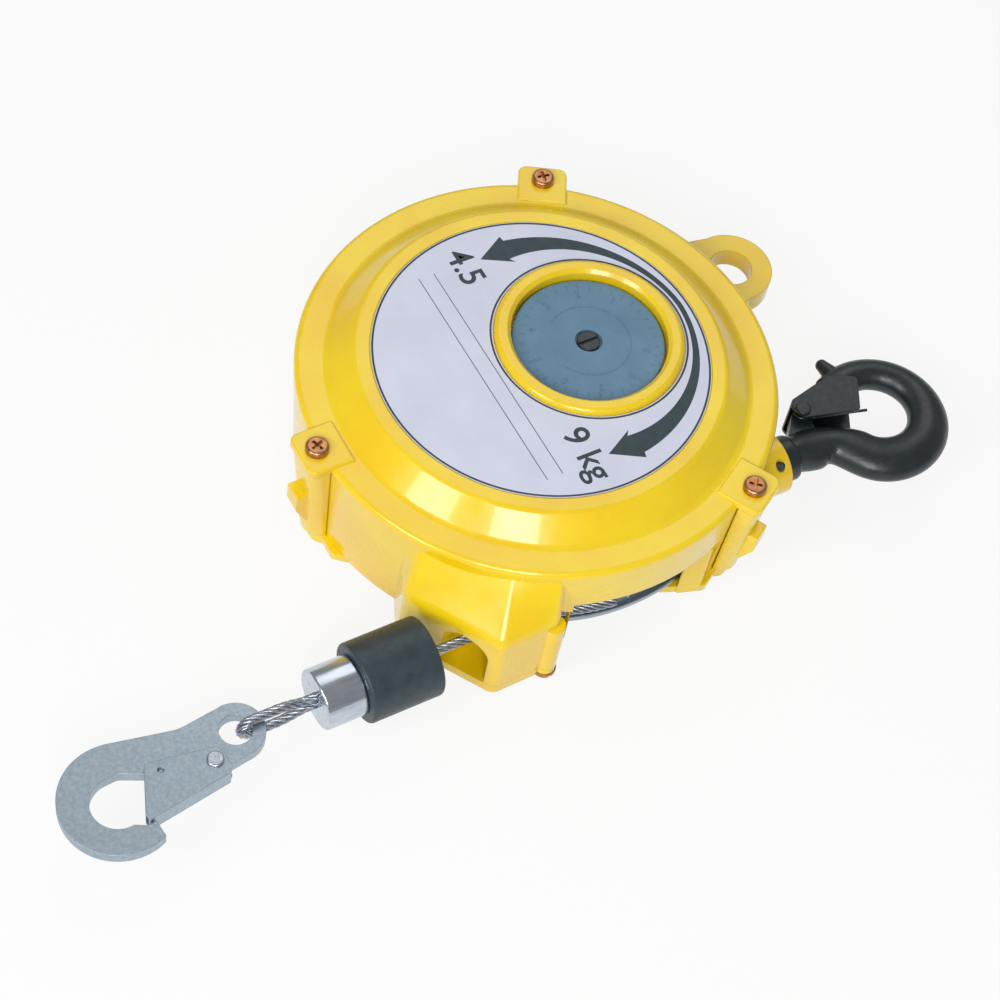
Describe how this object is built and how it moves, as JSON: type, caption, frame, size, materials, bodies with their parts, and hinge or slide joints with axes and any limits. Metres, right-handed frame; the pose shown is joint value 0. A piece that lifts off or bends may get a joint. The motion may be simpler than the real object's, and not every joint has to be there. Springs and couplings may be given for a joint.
{
  "type": "spring tool balancer",
  "caption": "Hanging spring tool balancer: round enamelled casing with tension dial, wire rope on a tapered drum, snap hook with latch, swivel suspension hook and safety eye.",
  "frame": {"origin": "centre of the rear rest face, on the axis of the casing", "axes": "+Z out of the dial face along the casing axis, +Y towards the suspension hook, the wire pulls out along -Y"},
  "size_m": [0.2059, 0.396, 0.0665],
  "materials": {
    "yellow_enamel": "yellow baked enamel on die-cast aluminium",
    "black_enamel": "blackened forged steel",
    "zinc_plate": "zinc-plated steel",
    "steel": "ground steel",
    "bichromate": "yellow-chromated steel",
    "spring_steel": "blued spring steel",
    "bronze": "sintered bronze",
    "drum_alloy": "machined aluminium casting",
    "rubber": "moulded black rubber",
    "wire": "bright stranded wire rope",
    "label": "printed satin film",
    "dial": "blue-grey moulded nylon"
  },
  "bodies": {
    "casing": {"front_casing": "yellow_enamel", "rear_cover": "yellow_enamel", "casing_screws": "bichromate", "outlet_screw": "bichromate", "label_plate": "label", "rear_shaft_bush": "bronze", "front_shaft_bush": "bronze", "brake_sleeve": "steel", "hook_pins": "steel"},
    "spring_shaft": {"main_shaft": "steel", "shaft_gear": "steel", "gear_key": "steel", "shaft_clip": "spring_steel"},
    "adjuster": {"adjuster_spindle": "steel", "tension_dial": "dial", "dial_screw": "black_enamel", "brake_spring": "spring_steel"},
    "drum": {"wire_drum": "drum_alloy", "drum_cover": "drum_alloy", "drum_cover_screws": "zinc_plate", "drum_front_bush": "bronze", "drum_rear_bush": "bronze", "wire_on_drum": "wire", "main_spring": "spring_steel"},
    "wire_end": {"wire_rope": "wire", "bumper": "rubber", "wire_sleeve": "zinc_plate", "wire_loop": "wire"},
    "load_hook": {"load_hook": "zinc_plate", "load_latch_rivet": "zinc_plate", "load_latch_spring": "spring_steel"},
    "load_latch": {"load_latch": "zinc_plate"},
    "top_hook": {"top_hook": "black_enamel", "top_latch_pin": "zinc_plate", "top_latch_spring": "spring_steel"},
    "top_latch": {"top_latch": "black_enamel"}
  },
  "joints": [
    {"name": "wire_pull", "type": "slide", "parent": "casing", "child": "wire_end", "axis": [0, -1, 0], "range_m": [0, 1.3], "stiffness_N_per_m": 4, "springref_m": -15},
    {"name": "drum_spin", "type": "hinge", "parent": "casing", "child": "drum", "pos_m": [0, 0, 0.025], "axis": [0, 0, 1], "range_deg": [-905, 0], "deforming": ["main_spring"]},
    {"name": "tension_adjust", "type": "hinge", "parent": "casing", "child": "adjuster", "pos_m": [0, 0.02125, 0.05], "axis": [0, 0, 1], "range_deg": [-720, 720]},
    {"name": "spring_shaft_turn", "type": "hinge", "parent": "casing", "child": "spring_shaft", "pos_m": [0, 0, 0.025], "axis": [0, 0, 1], "range_deg": [-395, 395]},
    {"name": "load_hook_swing", "type": "hinge", "parent": "wire_end", "child": "load_hook", "pos_m": [0.0814, -0.1669, 0.0256], "axis": [0, 0, 1], "range_deg": [-75, 75]},
    {"name": "load_latch_pivot", "type": "hinge", "parent": "load_hook", "child": "load_latch", "pos_m": [0.09002, -0.17893, 0.0256], "axis": [0, 0, 1], "range_deg": [-26, 0], "stiffness_Nm_per_rad": 0.03, "springref_deg": 34.38, "deforming": ["load_latch_spring"]},
    {"name": "top_hook_swivel", "type": "hinge", "parent": "casing", "child": "top_hook", "pos_m": [0.061, 0.0745, 0.0256], "axis": [0, 1, 0], "continuous": true},
    {"name": "top_latch_pivot", "type": "hinge", "parent": "top_hook", "child": "top_latch", "pos_m": [0.048, 0.0985, 0.0256], "axis": [0, 0, 1], "range_deg": [-35, 0], "stiffness_Nm_per_rad": 0.06, "springref_deg": 34.38, "deforming": ["top_latch_spring"]}
  ],
  "couplings": [
    {"joint": "drum_spin", "follows": "wire_pull", "rad_per_m": -12.08},
    {"joint": "spring_shaft_turn", "follows": "tension_adjust", "ratio": -0.54546}
  ]
}
